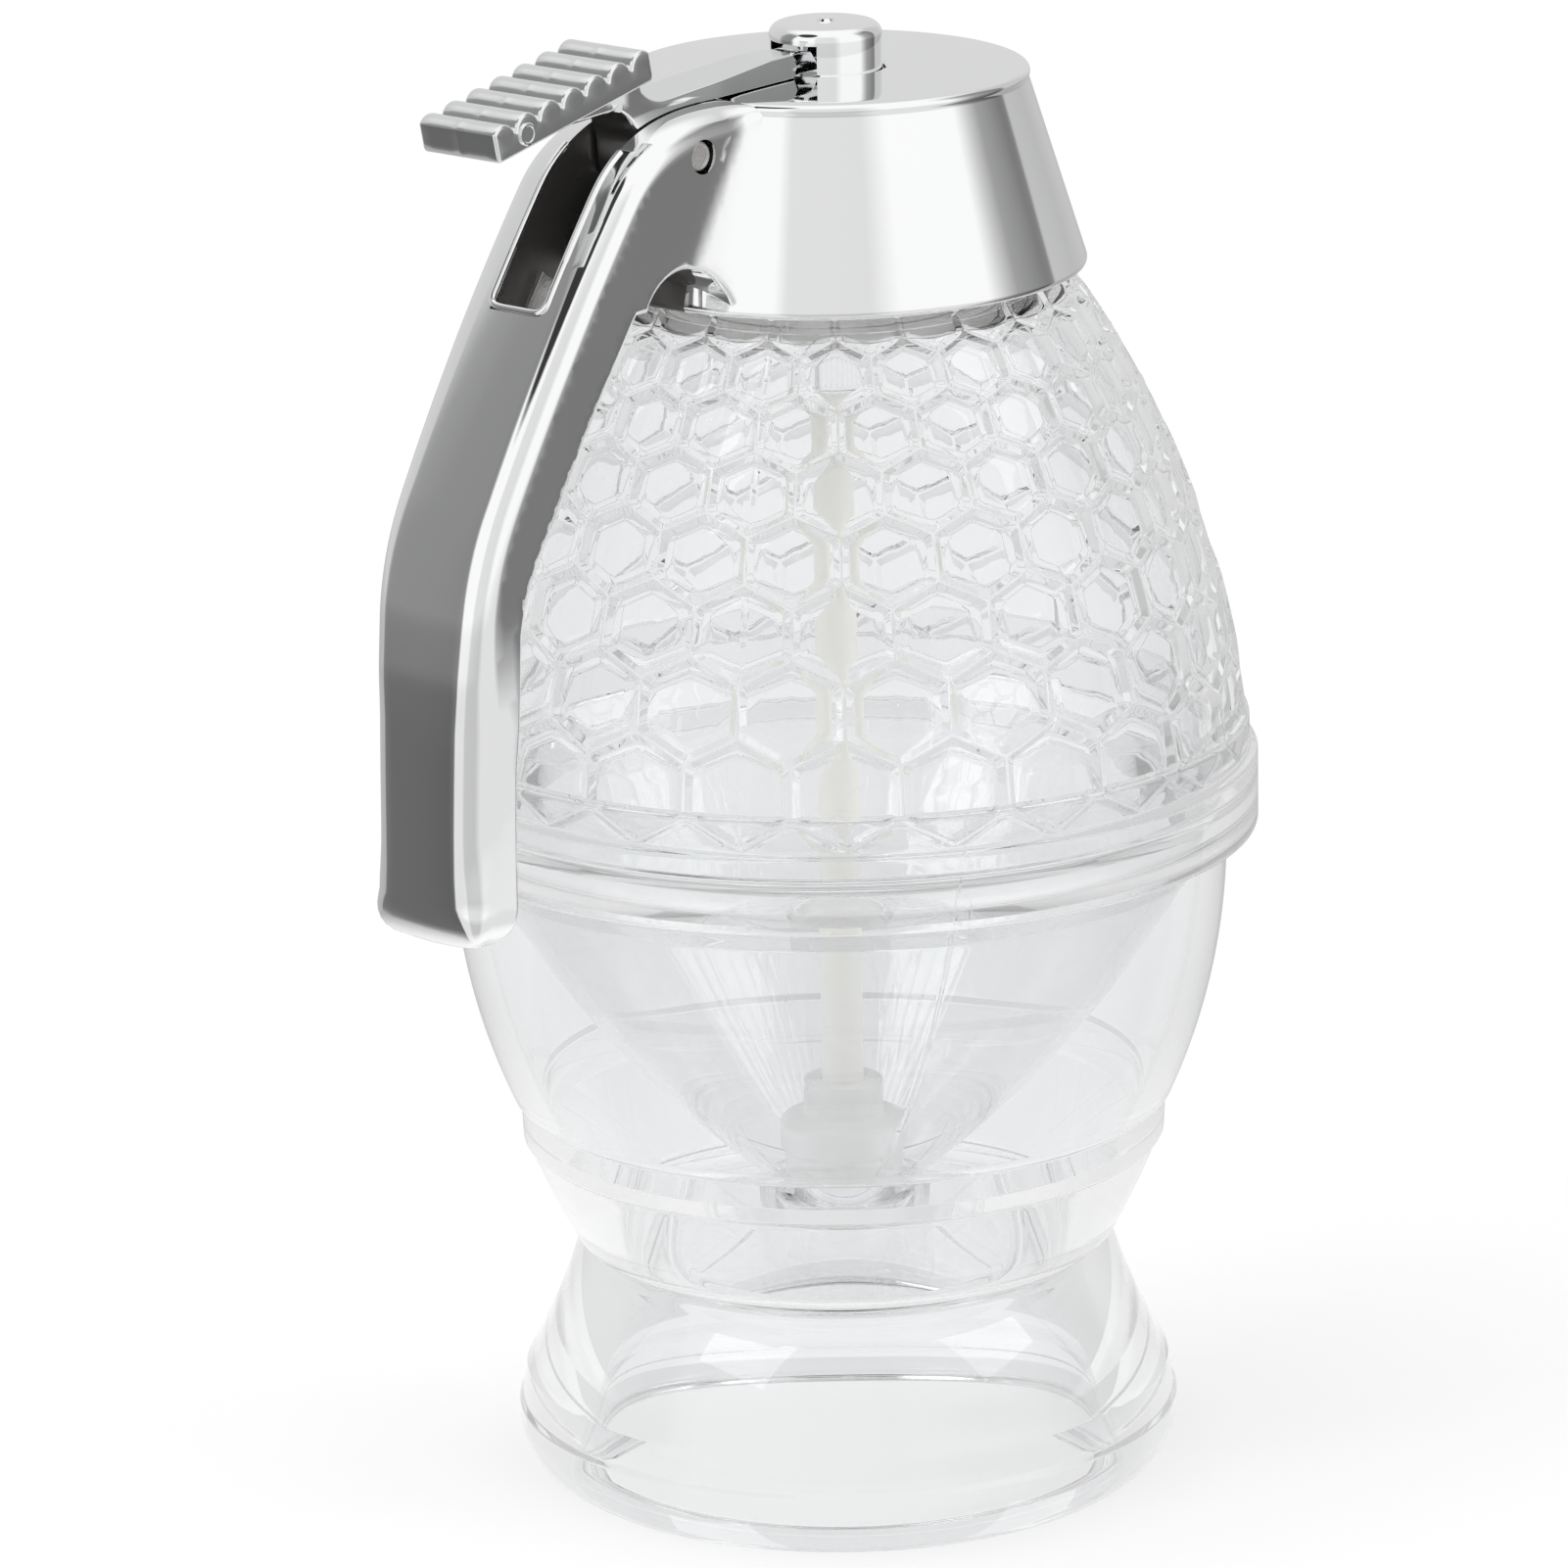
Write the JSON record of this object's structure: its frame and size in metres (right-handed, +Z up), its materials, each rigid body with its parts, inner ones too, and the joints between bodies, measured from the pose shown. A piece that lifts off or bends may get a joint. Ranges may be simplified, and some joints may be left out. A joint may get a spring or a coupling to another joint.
{
  "type": "honey dispenser",
  "caption": "Clear honey jar shaped like a beehive, with a chrome lid, curved grip and thumb lever that lifts a rod valve, resting in a clear pedestal stand.",
  "frame": {"origin": "on the table under the middle of the stand, where the jar's axis meets the table", "axes": "+Z up along the jar's axis; the handle and the thumb pad are on the -X side; +Y completes the right-handed frame"},
  "size_m": [0.1091, 0.09, 0.1617],
  "materials": {
    "clear_acrylic": "clear and polished",
    "chrome_shell": "mirror polished",
    "chrome_lever": "mirror polished",
    "dull_steel": "plain pin ends",
    "spring_wire": "drawn wire",
    "white_plastic": "smooth moulded",
    "ivory_plastic": "smooth moulded",
    "frosted_silicone": "frosted"
  },
  "bodies": {
    "stand": {"stand": "clear_acrylic"},
    "jar": {"jar_funnel": "clear_acrylic", "jar_dome": "clear_acrylic"},
    "lid": {"lid": "chrome_shell", "lid_liner": "white_plastic", "rod_guide": "chrome_shell", "handle_cover": "chrome_shell", "pivot_pin": "dull_steel", "lever_spring": "spring_wire"},
    "lever": {"thumb_lever": "chrome_lever", "thumb_pad": "chrome_lever", "pad_pin": "dull_steel"},
    "valve": {"rod_cap": "chrome_shell", "lift_rod": "ivory_plastic", "valve_stopper": "frosted_silicone"}
  },
  "joints": [
    {"name": "jar_lift", "type": "slide", "parent": "stand", "child": "jar", "axis": [0, 0, 1], "range_m": [0, 0.06]},
    {"name": "lid_lift", "type": "slide", "parent": "jar", "child": "lid", "axis": [0, 0, 1], "range_m": [0, 0.135]},
    {"name": "lever_pivot", "type": "hinge", "parent": "lid", "child": "lever", "pos_m": [-0.028, 0, 0.15], "axis": [0, -1, 0], "range_deg": [0, 12], "stiffness_Nm_per_rad": 0.1, "springref_deg": -20.05, "deforming": ["lever_spring"]},
    {"name": "valve_lift", "type": "slide", "parent": "lid", "child": "valve", "axis": [0, 0, 1], "range_m": [0, 0.0051]}
  ],
  "couplings": [
    {"joint": "valve_lift", "follows": "lever_pivot", "m_per_rad": 0.0239}
  ]
}
